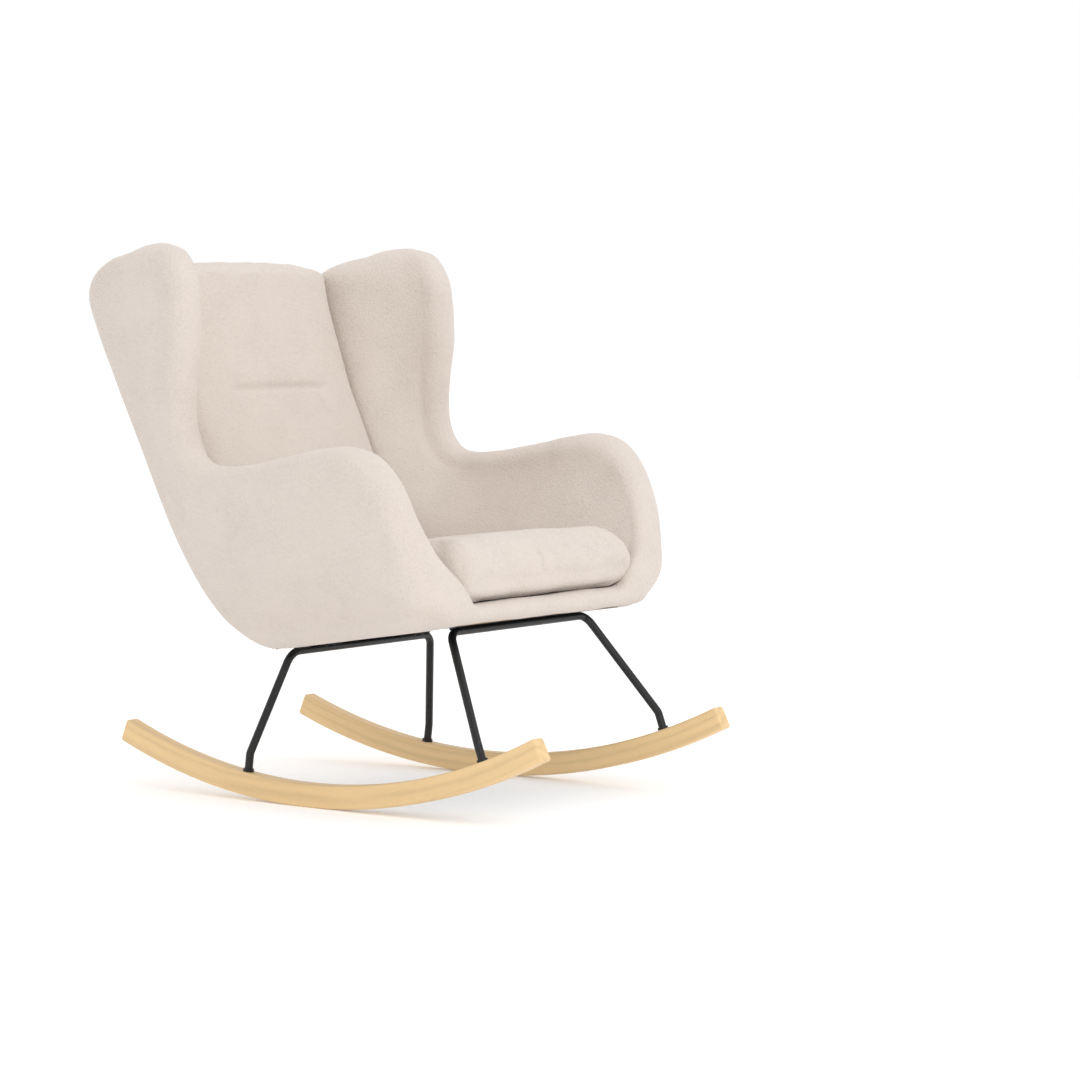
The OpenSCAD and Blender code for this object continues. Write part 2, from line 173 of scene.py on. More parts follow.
def loft(name, rings):
    """A closed skin over rings of equal length: quads between them, and a fan on each end."""
    count, points, _ = rings.shape
    poles = rings[[0, -1]].mean(1)
    body = grid_quads(count, points)
    j = np.arange(points)
    k = (j + 1) % points
    start = np.stack([np.full(points, count * points), k, j], -1)
    base = (count - 1) * points
    end = np.stack([np.full(points, count * points + 1), base + j, base + k], -1)
    faces = body.tolist() + start.tolist() + end.tolist()
    return mesh_of(name, np.vstack([rings.reshape(-1, 3), poles]), faces)


def there_and_back(out, back):
    """A closed row from a row out and a row back that share both ends."""
    return np.hstack([out, back[:, ::-1][:, 1:-1]])


def domed(rings, towards, height, count=7):
    """Adds rings past the last one that shrink by a cosine while they rise by a sine."""
    centre = rings[-1].mean(0)
    angle = np.linspace(0, math.pi / 2, count + 1)[1:, None, None]
    shrunk = (rings[-1] - centre)[None] * np.maximum(np.cos(angle), 0.02)
    risen = np.array(towards)[None, None] * height * np.sin(angle)
    return np.concatenate([rings, centre + shrunk + risen])


def tube(name, path, radius, sides=24):
    """A round tube: circles square to the path, set by the path's direction and one fixed side."""
    t = turning(path)
    u = np.cross(t, [0.0, 1.0, 0.0])
    u /= np.linalg.norm(u, axis=1)[:, None]
    v = np.cross(t, u)
    a = np.linspace(0, 2 * math.pi, sides, endpoint=False)
    ring = u[:, None] * np.cos(a)[None, :, None] + v[:, None] * np.sin(a)[None, :, None]
    r = np.broadcast_to(np.asarray(radius, float), len(path))[:, None, None]
    return loft(name, path[:, None] + ring * r)


def read_points(mesh):
    """The mesh's vertices as an array."""
    co = np.empty(len(mesh.vertices) * 3)
    mesh.vertices.foreach_get("co", co)
    return co.reshape(-1, 3)


def write_points(mesh, points):
    """Puts an array back as the mesh's vertices."""
    mesh.vertices.foreach_set("co", np.ascontiguousarray(points).ravel())
    mesh.update()


def read_normals(mesh):
    """The mesh's vertex normals as an array."""
    n = np.empty(len(mesh.vertices) * 3)
    mesh.vertex_normals.foreach_get("vector", n)
    return n.reshape(-1, 3)


def apply_modifiers(piece):
    """Replaces a piece's mesh by its mesh with all modifiers applied."""
    graph = bpy.context.evaluated_depsgraph_get()
    mesh = bpy.data.meshes.new_from_object(piece.evaluated_get(graph), depsgraph=graph)
    piece.modifiers.clear()
    piece.data = mesh
    mesh.shade_smooth()


def remesh(piece, size):
    """Rebuilds a closed mesh from small cubes, so that touching solids become one skin."""
    modifier = piece.modifiers.new("remesh", "REMESH")
    modifier.mode = "VOXEL"
    modifier.voxel_size = size
    apply_modifiers(piece)


def edge_array(mesh):
    """The two vertex numbers of each edge."""
    e = np.empty(len(mesh.edges) * 2, np.int32)
    mesh.edges.foreach_get("vertices", e)
    return e.reshape(-1, 2)


def smooth(piece, pulls, weight=1.0):
    """Moves every point towards its neighbours' mean, by its weight times each pull in turn."""
    mesh = piece.data
    edges = edge_array(mesh)
    points = read_points(mesh)
    count = np.bincount(edges.ravel(), minlength=len(points)).astype(float)[:, None]
    total = np.zeros_like(points)
    for pull in pulls:
        for axis in range(3):
            total[:, axis] = (np.bincount(edges[:, 0], points[edges[:, 1], axis], len(points))
                              + np.bincount(edges[:, 1], points[edges[:, 0], axis], len(points)))
        points = points + weight * pull * (total / count - points)
    write_points(mesh, points)


def relax(piece, rounds):
    """Evens out a skin and hardly shrinks it: each round goes half of the way in and nearly all back."""
    smooth(piece, (0.5, -0.47) * rounds)


def soften(piece, rounds, weight):
    """Moves every point half of the way to its neighbours' mean, by its weight, with no way back."""
    smooth(piece, (0.5,) * rounds, weight[:, None])


def inflate(piece, cap, pressure=4.0):
    """Fills a closed skin with air as cloth for some frames, and lets no point move past the cap."""
    start = read_points(piece.data)
    cloth = piece.modifiers.new("cloth", "CLOTH")
    cloth.settings.use_pressure = True
    cloth.settings.uniform_pressure_force = pressure
    cloth.settings.effector_weights.gravity = 0
    cloth.settings.quality = 4
    cloth.point_cache.frame_start = 1
    cloth.point_cache.frame_end = BLOW_FRAMES
    for step in range(1, BLOW_FRAMES + 1):
        bpy.context.scene.frame_set(step)
    apply_modifiers(piece)
    bpy.context.scene.frame_set(1)
    moved = read_points(piece.data) - start
    far = np.linalg.norm(moved, axis=1)[:, None]
    write_points(piece.data, start + moved * np.minimum(1, cap / np.maximum(far, 1e-9)))


# ---- node helpers ----
def add_node(tree, kind, **values):
    """A node with its settings and input values; keys that name an input set that input."""
    node = tree.nodes.new(kind)
    for key, value in values.items():
        name = key.replace("_", " ")
        if name in node.inputs:
            node.inputs[name].default_value = value
        else:
            setattr(node, key, value)
    return node


def join(tree, source, target):
    """Links one socket to another."""
    tree.links.new(source, target)


def math_node(tree, operation, a, b=0.0):
    """A Math node; each of a and b is a socket or a number."""
    node = tree.nodes.new("ShaderNodeMath")
    node.operation = operation
    for socket, value in zip(node.inputs, (a, b)):
        if isinstance(value, (int, float)):
            socket.default_value = value
        else:
            join(tree, value, socket)
    return node.outputs[0]


def times(tree, a, b):
    """The product of two sockets or numbers."""
    return math_node(tree, "MULTIPLY", a, b)


def plus(tree, a, b):
    """The sum of two sockets or numbers."""
    return math_node(tree, "ADD", a, b)


def ramp(tree, factor, stops):
    """A colour ramp through (place, colour) stops."""
    node = tree.nodes.new("ShaderNodeValToRGB")
    elements = node.color_ramp.elements
    for i, (place, colour) in enumerate(stops):
        element = elements[i] if i < 2 else elements.new(place)
        element.position = place
        element.color = (*colour, 1.0)
    join(tree, factor, node.inputs["Fac"])
    return node.outputs["Color"]


def noise(tree, vector, scale, detail=4.0, rough=0.5, distortion=0.0):
    """A noise texture's value."""
    node = add_node(tree, "ShaderNodeTexNoise", Scale=scale, Detail=detail, Roughness=rough,
                    Distortion=distortion)
    join(tree, vector, node.inputs["Vector"])
    return node.outputs["Fac"]


def mapped(tree, vector, scale=(1, 1, 1), rotation=(0, 0, 0)):
    """A vector through a Mapping node."""
    node = add_node(tree, "ShaderNodeMapping", Scale=scale, Rotation=rotation)
    join(tree, vector, node.inputs["Vector"])
    return node.outputs["Vector"]


def mixed(tree, factor, first, second, blend="MIX"):
    """A colour mix; each argument is a socket, a number or a colour."""
    node = tree.nodes.new("ShaderNodeMix")
    node.data_type = "RGBA"
    node.blend_type = blend
    for socket, value in zip((node.inputs[0], node.inputs[6], node.inputs[7]), (factor, first, second)):
        if isinstance(value, (int, float)):
            socket.default_value = value
        elif isinstance(value, (tuple, list)):
            socket.default_value = (*value, 1.0)
        else:
            join(tree, value, socket)
    return node.outputs[2]


def ranged(tree, value, low, high, to_low, to_high):
    """A value moved from one range to another."""
    node = add_node(tree, "ShaderNodeMapRange", From_Min=low, From_Max=high, To_Min=to_low, To_Max=to_high)
    join(tree, value, node.inputs["Value"])
    return node.outputs["Result"]


def new_group(name, inputs, outputs):
    """An empty shader node group with named sockets."""
    group = bpy.data.node_groups.new(name, "ShaderNodeTree")
    for label, kind, default in inputs:
        socket = group.interface.new_socket(label, in_out="INPUT", socket_type=kind)
        if default is not None:
            socket.default_value = default
    for label, kind in outputs:
        group.interface.new_socket(label, in_out="OUTPUT", socket_type=kind)
    return group, group.nodes.new("NodeGroupInput"), group.nodes.new("NodeGroupOutput")


def group_node(tree, name, vector, **values):
    """Places a node group in a material and feeds it a vector."""
    node = tree.nodes.new("ShaderNodeGroup")
    node.node_tree = bpy.data.node_groups[name]
    join(tree, vector, node.inputs["Vector"])
    for key, value in values.items():
        node.inputs[key.replace("_", " ")].default_value = value
    return node


FLOAT, VECTOR, COLOUR = "NodeSocketFloat", "NodeSocketVector", "NodeSocketColor"


def make_pile_group():
    """Short curled pile: small round loops, broken by finer hairs. Its tone is painted shade, darker in the
    hollows between the loops and lighter on their tops, mixed with random drifts of light and dark.
    """
    group, start, end = new_group("pile", [("Vector", VECTOR, None), ("Loop Size", FLOAT, 0.004)],
                                  [("Height", FLOAT), ("Tone", FLOAT)])
    vector = start.outputs["Vector"]
    scale = math_node(group, "DIVIDE", 1.0, start.outputs["Loop Size"])
    wander = add_node(group, "ShaderNodeTexNoise", Scale=160.0, Detail=2.0)
    join(group, vector, wander.inputs["Vector"])
    shift = group.nodes.new("ShaderNodeVectorMath")
    shift.operation = "MULTIPLY_ADD"
    join(group, wander.outputs["Color"], shift.inputs[0])
    shift.inputs[1].default_value = (0.004, 0.004, 0.004)
    join(group, vector, shift.inputs[2])
    loops = add_node(group, "ShaderNodeTexVoronoi", feature="SMOOTH_F1", Smoothness=0.6)
    join(group, shift.outputs[0], loops.inputs["Vector"])
    join(group, scale, loops.inputs["Scale"])
    hairs = noise(group, shift.outputs[0], 900.0, 6.0, 0.7)
    drift = noise(group, vector, 14.0, 3.0, 0.55)
    dome = math_node(group, "SUBTRACT", 1.0, loops.outputs["Distance"])
    height = plus(group, times(group, dome, 0.65), times(group, hairs, 0.5))
    # Tone: painted shade from the loop height (darker hollows, lighter loop tops) plus random drifts of real
    # tone.
    tone = plus(group, times(group, height, 0.55), times(group, drift, 0.45))
    join(group, height, end.inputs["Height"])
    join(group, tone, end.inputs["Tone"])


def make_grain_group():
    """Wood grain from long stretched noise: year rings across the board, fine pores along it."""
    group, start, end = new_group("grain", [("Vector", VECTOR, None), ("Ring Pitch", FLOAT, 0.006),
                                            ("Figure", FLOAT, 0.5)],
                                  [("Tone", FLOAT), ("Pores", FLOAT)])
    vector = start.outputs["Vector"]
    slow = mapped(group, vector, (1.2, 14.0, 14.0))
    waver = noise(group, slow, 1.0, 3.0, 0.5)
    parts = group.nodes.new("ShaderNodeSeparateXYZ")
    join(group, vector, parts.inputs[0])
    across = plus(group, parts.outputs["Z"], times(group, parts.outputs["Y"], 0.55))
    bent = plus(group, across, times(group, waver, times(group, start.outputs["Figure"], 0.11)))
    turns = math_node(group, "DIVIDE", bent, start.outputs["Ring Pitch"])
    wave = math_node(group, "SINE", times(group, turns, 2 * math.pi))
    late = math_node(group, "POWER", plus(group, times(group, wave, 0.5), 0.5), 2.2)
    fibres = noise(group, mapped(group, vector, (26.0, 1500.0, 1500.0)), 1.0, 5.0, 0.65)
    broad = noise(group, mapped(group, vector, (3.0, 60.0, 60.0)), 1.0, 3.0, 0.5)
    streaks = plus(group, times(group, fibres, 0.45), times(group, broad, 0.50))
    tone = plus(group, times(group, late, 0.15), streaks)
    pores = noise(group, mapped(group, vector, (60.0, 2600.0, 2600.0)), 1.0, 2.0, 0.5)
    join(group, tone, end.inputs["Tone"])
    join(group, pores, end.inputs["Pores"])


def make_weave_group():
    """Plain weave: two crossed sets of rounded threads, each passing over the other in turn. Its tone is
    painted shade, darker where the threads dip, mixed with random fuzz.
    """
    group, start, end = new_group("weave", [("Vector", VECTOR, None), ("Thread", FLOAT, 0.001)],
                                  [("Height", FLOAT), ("Tone", FLOAT)])
    parts = group.nodes.new("ShaderNodeSeparateXYZ")
    join(group, start.outputs["Vector"], parts.inputs[0])
    across = math_node(group, "DIVIDE", parts.outputs["X"], start.outputs["Thread"])
    lengthwise = plus(group, parts.outputs["Y"], parts.outputs["Z"])
    along = math_node(group, "DIVIDE", lengthwise, start.outputs["Thread"])
    warp = math_node(group, "ABSOLUTE", math_node(group, "SINE", times(group, across, math.pi)))
    weft = math_node(group, "ABSOLUTE", math_node(group, "SINE", times(group, along, math.pi)))
    square = plus(group, math_node(group, "FLOOR", across), math_node(group, "FLOOR", along))
    over = math_node(group, "ABSOLUTE", math_node(group, "MODULO", square, 2.0))
    under = math_node(group, "SUBTRACT", 1.0, over)
    height = plus(group, times(group, warp, over), times(group, weft, under))
    fuzz = noise(group, start.outputs["Vector"], 900.0, 3.0)
    join(group, height, end.inputs["Height"])
    # Tone: painted shade from the thread height (darker where threads dip) plus random fuzz.
    join(group, plus(group, times(group, height, 0.6), times(group, fuzz, 0.4)), end.inputs["Tone"])


def make_wear_group():
    """Handling marks: soft smudges, and fine specks of dust."""
    group, start, end = new_group("wear", [("Vector", VECTOR, None), ("Amount", FLOAT, 0.3)],
                                  [("Smudge", FLOAT), ("Speck", FLOAT)])
    vector = start.outputs["Vector"]
    smudge = ranged(group, noise(group, vector, 22.0, 4.0, 0.6), 0.45, 0.75, 0.0, 1.0)
    speck = ranged(group, noise(group, vector, 700.0, 2.0, 0.4), 0.66, 0.72, 0.0, 1.0)
    join(group, times(group, smudge, start.outputs["Amount"]), end.inputs["Smudge"])
    join(group, times(group, speck, start.outputs["Amount"]), end.inputs["Speck"])


def new_material(name, **values):
    """A material with one Principled shader, its tree and the piece's Object coordinates."""
    material = bpy.data.materials.new(name)
    material.use_nodes = True
    tree = material.node_tree
    shader = tree.nodes["Principled BSDF"]
    for key, value in values.items():
        shader.inputs[key.replace("_", " ")].default_value = value
    place = tree.nodes.new("ShaderNodeTexCoord").outputs["Object"]
    return material, tree, shader, place


def add_bump(tree, shader, height, distance, strength=1.0):
    """Feeds a height to the shader's normal; distance is in metres."""
    bump = add_node(tree, "ShaderNodeBump", Strength=strength, Distance=distance)
    join(tree, height, bump.inputs["Height"])
    join(tree, bump.outputs["Normal"], shader.inputs["Normal"])


def shades(colour, low, high):
    """The same colour made darker and lighter."""
    return tuple(c * low for c in colour), tuple(min(c * high, 1.0) for c in colour)


def pile_material(name, colour, loop=0.0036, depth=0.0016):
    """Soft cream cloth with a short curled pile and a pale sheen."""
    material, tree, shader, place = new_material(
        name, Roughness=0.95, Sheen_Weight=0.35, Sheen_Roughness=0.45,
        Sheen_Tint=(1.0, 0.96, 0.92, 1.0), Specular_IOR_Level=0.15)
    pile = group_node(tree, "pile", place, Loop_Size=loop)
    dark, light = shades(colour, 0.90, 1.05)
    # The pile's tone carries painted shade in the hollows between the loops, as well as random drifts.
    tone = ramp(tree, pile.outputs["Tone"], [(0.30, dark), (0.55, colour), (0.85, light)])
    blush = ranged(tree, noise(tree, place, 5.0, 2.0), 0.35, 0.7, 0.0, 0.10)
    warmer = tuple(c * k for c, k in zip(colour, (1.02, 0.97, 0.93)))
    join(tree, mixed(tree, blush, tone, warmer), shader.inputs["Base Color"])
    add_bump(tree, shader, pile.outputs["Height"], depth, 0.85)
    return material


def wood_material(name, colour, pitch, attribute=None, rough=0.45, figure=0.5):
    """Planed wood; the grain follows the piece's own attribute if it has one."""
    material, tree, shader, place = new_material(name, Coat_Roughness=0.35, Specular_IOR_Level=0.4)
    if attribute:
        node = add_node(tree, "ShaderNodeAttribute", attribute_name=attribute)
        place = node.outputs["Vector"]
    grain = group_node(tree, "grain", place, Ring_Pitch=pitch, Figure=figure)
    wear = group_node(tree, "wear", place, Amount=0.25)
    dark, light = shades(colour, 0.78, 1.12)
    tone = ramp(tree, grain.outputs["Tone"], [(0.25, light), (0.52, colour), (0.85, dark)])
    specks = ranged(tree, grain.outputs["Pores"], 0.62, 0.74, 0.0, 0.35)
    join(tree, mixed(tree, specks, tone, tuple(c * 0.55 for c in colour)), shader.inputs["Base Color"])
    join(tree, plus(tree, times(tree, wear.outputs["Smudge"], 0.3), rough), shader.inputs["Roughness"])
    add_bump(tree, shader, grain.outputs["Pores"], 0.0003, 0.35)
    return material


def coated_steel(name, colour):
    """Satin powder coat: a fine orange-peel skin with faint dust."""
    material, tree, shader, place = new_material(name, Specular_IOR_Level=0.35, Coat_Weight=0.1,
                                                 Coat_Roughness=0.3)
    wear = group_node(tree, "wear", place, Amount=0.35)
    peel = noise(tree, place, 900.0, 2.0, 0.5)
    join(tree, mixed(tree, wear.outputs["Speck"], colour, tuple(c * 3 for c in colour)),
         shader.inputs["Base Color"])
    join(tree, plus(tree, times(tree, wear.outputs["Smudge"], 0.35), 0.36), shader.inputs["Roughness"])
    add_bump(tree, shader, peel, 0.00025, 0.6)
    return material


def bare_steel(name, colour):
    """Zinc-plated steel with fine turning marks and dull patches."""
    material, tree, shader, place = new_material(name, Metallic=1.0)
    marks = noise(tree, mapped(tree, place, (300.0, 300.0, 3000.0)), 1.0, 3.0)
    wear = group_node(tree, "wear", place, Amount=0.6)
    dark, light = shades(colour, 0.8, 1.1)
    join(tree, ramp(tree, marks, [(0.3, dark), (0.7, light)]), shader.inputs["Base Color"])
    join(tree, plus(tree, times(tree, wear.outputs["Smudge"], 0.3), 0.28), shader.inputs["Roughness"])
    add_bump(tree, shader, marks, 0.0001, 0.4)
    return material


def woven_material(name, colour, thread):
    """Dark woven or felted cloth."""
    material, tree, shader, place = new_material(name, Roughness=0.9, Sheen_Weight=0.15)
    weave = group_node(tree, "weave", place, Thread=thread)
    dark, light = shades(colour, 0.6, 1.35)
    # The weave's tone carries painted shade between the threads, as well as random fuzz.
    join(tree, ramp(tree, weave.outputs["Tone"], [(0.2, dark), (0.8, light)]), shader.inputs["Base Color"])
    add_bump(tree, shader, weave.outputs["Height"], thread * 0.3, 0.8)
    return material


def studio_material(name, colour):
    """Pale seamless studio floor, very slightly mottled."""
    material, tree, shader, place = new_material(name, Roughness=0.8, Specular_IOR_Level=0.1,
                                                 Emission_Color=(1, 1, 1, 1), Emission_Strength=0.14)
    dark = tuple(c * 0.985 for c in colour)
    join(tree, ramp(tree, noise(tree, place, 1.5), [(0.3, dark), (0.7, colour)]), shader.inputs["Base Color"])
    return material


# ---- where the main parts are, in millimetres ----
SEAT_SLOPE = math.radians(8.66)
ALONG = np.array([0.0, math.cos(SEAT_SLOPE), -math.sin(SEAT_SLOPE)])
UPWARD = np.array([0.0, math.sin(SEAT_SLOPE), math.cos(SEAT_SLOPE)])
REAR_BAR = np.array([0.0, 125.0, 254.0])
BAR_GAP = 345.5
FRONT_BAR = REAR_BAR - BAR_GAP * ALONG
UNDERSIDE = REAR_BAR + 7 * UPWARD
GROUND_Y, ARC, ARC_DEPTH, TOE = 37.5, 1137.0, 40.0, math.radians(1.5)
SPACING, REACH, RUNNER_WIDTH = 515.0, 457.5, 28.0
FEET = {"rear": 138.0, "front": -373.0}


def on_seat(points):
    """Points of the seat box, (x, along the underside, square to it), in the chair's frame."""
    points = np.asarray(points, float)
    return (UNDERSIDE + points[..., :1] * np.array([1.0, 0, 0]) + points[..., 1:2] * ALONG
            + points[..., 2:] * UPWARD)


def on_radius(y, radius):
    """A point on the runner's radius through the foot at y behind the ground line."""
    angle = math.asin(y / (ARC - ARC_DEPTH))
    return np.array([SPACING / 2 - y * math.tan(TOE), GROUND_Y + radius * math.sin(angle),
                     ARC - radius * math.cos(angle)])


# ---- the padded sides and the front edge, as one cover ----
# Where arm roll and front edge meet, where wing and arm meet, and where the wings' tops begin, in metres.
FRONT_CORNER = np.array([0.252, -0.262, 0.352])
WING_NOTCH = np.array([0.33, 0.205, 0.60])
CREST_LEVEL = 0.885


def side_rings(count=190):
    """Outlines of one padded side: rear corner, outer face, rolled front edge and inner face."""
    q = along_rows(SIDE_ROWS, np.linspace(0, len(SIDE_ROWS) - 1, count))
    rear, front = q[:, 0:2], q[:, 2:4]
    length = np.linalg.norm(front - rear, axis=1)[:, None]
    corner = np.minimum(40, 0.3 * length)
    half = (q[:, 6:7] - q[:, 7:8]) / 2
    nose = np.minimum(half, 0.35 * length)
    middle = (q[:, 6:7] + q[:, 7:8]) / 2
    start = length - nose

    def outer(s):
        return mix(q[:, 4:5], q[:, 6:7], np.sin(math.pi / 2 * np.clip(s / length / 0.55, 0, 1)))

    def inner(s):
        return mix(q[:, 5:6], q[:, 7:8], ease((s / length - 0.2) / 0.7)) - 3 * ease(1 - s / 70)

    turn = steps(7, 0, math.pi / 2)
    corner_x = outer(corner) - corner + corner * np.sin(turn)
    corner_s = corner - corner * np.cos(turn)
    out_s = mix(corner, start, steps(21)[:, 1:-1])
    front_turn = steps(19, 0, math.pi)
    in_s = mix(start, 0, steps(26)[:, 1:])
    x = np.hstack([corner_x, outer(out_s), middle + half * np.cos(front_turn), inner(in_s)])
    s = np.hstack([corner_s, out_s, start + nose * np.sin(front_turn), in_s])
    t = (s / length)[..., None]
    return np.concatenate([x[..., None], mix(rear[:, None, :], front[:, None, :], t)], -1)


def side_cover(name, sign):
    """One side as a closed skin: its outlines, with a dome over the top of the wing and the arm's end."""
    rings = side_rings()
    top = domed(rings[::-1], (0, 0.1, 1), 9)
    rings = domed(top[::-1], (0, -0.8, -0.3), 10)
    rings[..., 0] *= sign
    return loft(name, rings * MM)


def front_edge(name):
    """The padded front rail: a rounded slab from arm to arm that thins a little in the middle."""
    x = np.linspace(-286, 286, 90)
    profile = np.array([[-345, 2], [-380, 1], [-404, 2], [-416, 6], [-422, 13], [-424, 21], [-421, 29],
                        [-414, 34], [-402, 36.6], [-380, 37], [-345, 37]])
    side = np.clip((np.abs(x) - 215) / 60, 0, 1)[:, None]
    y = profile[None, :, 0] - 4 * side ** 2
    z = profile[None, :, 1] + (profile[None, :, 1] > 20) * 9 * side ** 2
    rings = np.stack([np.broadcast_to(x[:, None], y.shape), y, z], -1)
    return loft(name, on_seat(rings) * MM)


def build_shell(settings):
    """Joins both sides and the front edge into one skin of small squares and softens it like padding."""
    shell = joined([side_cover("shell_cover", 1), side_cover("side_b", -1), front_edge("front_b")])
    remesh(shell, settings.shell_grid)
    relax(shell, 6)
    points = read_points(shell.data)
    one_side = np.abs(points) * [1, 0, 0] + points * [0, 1, 1]
    corner = bump_curve(np.linalg.norm(one_side - FRONT_CORNER, axis=1), 0.060)
    notch = bump_curve(np.linalg.norm(one_side - WING_NOTCH, axis=1), 0.05)
    crest = ease((points[:, 2] - CREST_LEVEL) / 0.04)
    soften(shell, 34, np.clip(corner + 0.5 * notch + 0.5 * crest, 0, 1))
    dents(shell, ((0.0022, 7.0, 0.0), (0.0010, 19.0, 3.0)))
    return shell


def dents(piece, layers):
    """Gentle lumps of stuffing: sums of three crossed sines, each layer with its depth, rate and shift."""
    points = read_points(piece.data)
    x, y, z = points.T
    total = np.zeros(len(points))
    for depth, rate, shift in layers:
        total += depth * (np.sin(rate * (x + 0.8 * y) * 3 + shift)
                          * np.sin(rate * (y - 0.6 * z) * 2.6 + shift * 2)
                          * np.sin(rate * (z + 0.7 * x) * 2.3 + 1 + shift))
    write_points(piece.data, points + read_normals(piece.data) * (total * 0.6)[:, None])


# ---- the back ----
# The tuck at head height and the seams of the rear, in metres.
TUCK_LEVEL, TUCK_HALF, TUCK_SAG = 0.704, 0.148, 0.003
SIDE_SEAM, TOP_SEAM, SEAM_WIDTH = 0.222, 0.892, 0.0032


def half_width(z):
    """Half the width of the back at height z."""
    return 236.5 + 10 * np.clip((z - 560) / 300, 0, 1.2)


def build_back(settings):
    """The back as one stuffed slab: levels with rounded sides, fuller in the middle, domed at the top."""
    q = along_rows(BACK_ROWS, np.linspace(0, len(BACK_ROWS) - 1.4, 110))
    z, near, far = q[:, 0:1], q[:, 1:2], q[:, 2:3]
    bulge = 20 * ease((z - 330) / 190)
    w = half_width(z) + 5
    u = np.sin(steps(61, -1, 1) * math.pi / 2)
    cap = np.sqrt(np.clip(1 - np.abs(u) ** 9, 0, 1))
    middle = (near + far) / 2 + 2
    front = middle - (middle - near) * cap - bulge * (1 - u ** 2) * cap
    rear = middle + (far - middle) * cap + 13 * (1 - u ** 2) * cap
    ring_x = there_and_back(w * u, w * u)
    ring_y = there_and_back(front, rear)
    rings = np.stack([ring_x, ring_y, np.broadcast_to(z, ring_x.shape)], -1)
    downwards = domed(rings, (0, 0, 1), 27, 9)[::-1]
    upwards = domed(downwards, (0, 0, -1), 5, 3)[::-1]
    back = loft("back_cover", upwards * MM)
    remesh(back, settings.back_grid)
    relax(back, 8)
    inflate(back, settings.back_swell)
    points = read_points(back.data)
    normals = read_normals(back.data)
    x, _, z = points.T
    facing = np.clip(-normals[:, 1], 0, 1)
    behind = np.clip(normals[:, 1], 0, 1)
    tuck_line = TUCK_LEVEL - TUCK_SAG * (x / 0.13) ** 2
    pinch = bump_curve(z - tuck_line, 0.0055) * ease((TUCK_HALF - np.abs(x)) / 0.05)
    roll_above = bump_curve(z - TUCK_LEVEL - 0.026, 0.030) * ease((0.21 - np.abs(x)) / 0.12)
    side_seam = bump_curve(np.abs(x) - SIDE_SEAM, SEAM_WIDTH) * behind
    top_seam = bump_curve(z - TOP_SEAM, SEAM_WIDTH) * behind * (np.abs(x) < SIDE_SEAM + 0.002)
    move = facing * (-0.006 * pinch + 0.0022 * roll_above) - 0.0035 * np.maximum(side_seam, top_seam)
    write_points(back.data, points + normals * move[:, None])
    dents(back, ((0.0024, 8.0, 1.0), (0.0010, 23.0, 2.0)))
    return back


# ---- the seat cushion ----
# In millimetres along the seat: its middle, half its size before it is blown up, how far its rim is from
# the middle across and along, its two seams' heights and how deep its flat underside lies.
CUSHION_MIDDLE = np.array([0.0, -211.5, 91.0])
CUSHION_HALF = np.array([238.0, 208.0, 50.0])
RIM_ACROSS, RIM_ALONG = 243, 211
SEAM_ABOVE, SEAM_BELOW, UNDERSIDE_DEPTH = 38, 40, 52.5


def build_cushion(settings):
    """A boxed cushion: a rounded box grid, blown up as cloth, then pinched along its two seams."""
    count = 61
    u = np.linspace(-1, 1, count)
    a, b = (grid.ravel() for grid in np.meshgrid(u, u, indexing="ij"))
    one = np.ones_like(a)
    cube = np.concatenate([np.stack(p, -1) for p in (
        (a, b, one), (a, b, -one), (a, one, b), (a, -one, b), (one, a, b), (-one, a, b))])
    solid = cube * CUSHION_HALF
    r = mix(15, 40, ease((cube[:, 2:3] + 0.7) / 1.2))
    inner = np.clip(solid, -(CUSHION_HALF - r), CUSHION_HALF - r)
    away = solid - inner
    solid = inner + away / np.maximum(np.linalg.norm(away, axis=1), 1e-9)[:, None] * r
    quads = grid_quads(count, count, closed=False)
    faces = np.concatenate([quads + side * count ** 2 for side in range(6)])
    share = solid / CUSHION_HALF
    solid[:, 2] += 9 * (1 - share[:, 0] ** 2) * (1 - share[:, 1] ** 2) * (solid[:, 2] > 0)
    cushion = mesh_of("seat_cushion", on_seat(solid + CUSHION_MIDDLE) * MM, faces.tolist())
    remesh(cushion, settings.cushion_grid)
    relax(cushion, 5)
    inflate(cushion, settings.cushion_swell)
    points = read_points(cushion.data)
    normals = read_normals(cushion.data)
    seat_axes = np.stack([[1.0, 0, 0], ALONG, UPWARD], 1)
    local = (points / MM - UNDERSIDE) @ seat_axes - CUSHION_MIDDLE
    across, along, height = local.T
    beyond = ease((np.maximum(np.abs(across) / RIM_ACROSS, np.abs(along) / RIM_ALONG) - 0.93) / 0.05)
    seam = np.maximum(bump_curve(height - SEAM_ABOVE, 2.2), bump_curve(height + SEAM_BELOW, 2.2)) * beyond
    band = bump_curve(height, 28) * beyond
    too_low = np.clip(-height - UNDERSIDE_DEPTH, 0, 20) * MM
    points = points + normals * (0.0022 * band - 0.0014 * seam)[:, None] + too_low[:, None] * UPWARD
    # The front of one side reaches out under the arm's rolled edge.
    near_front = np.clip((-along - 150) / 60, 0, 1)
    points[:, 0] += 0.038 * near_front * bump_curve(height - 2, 48) * ease((across + 60) / 240)
    write_points(cushion.data, points)
    dents(cushion, ((0.0026, 9.0, 2.0), (0.0010, 21.0, 1.0)))
    return cushion


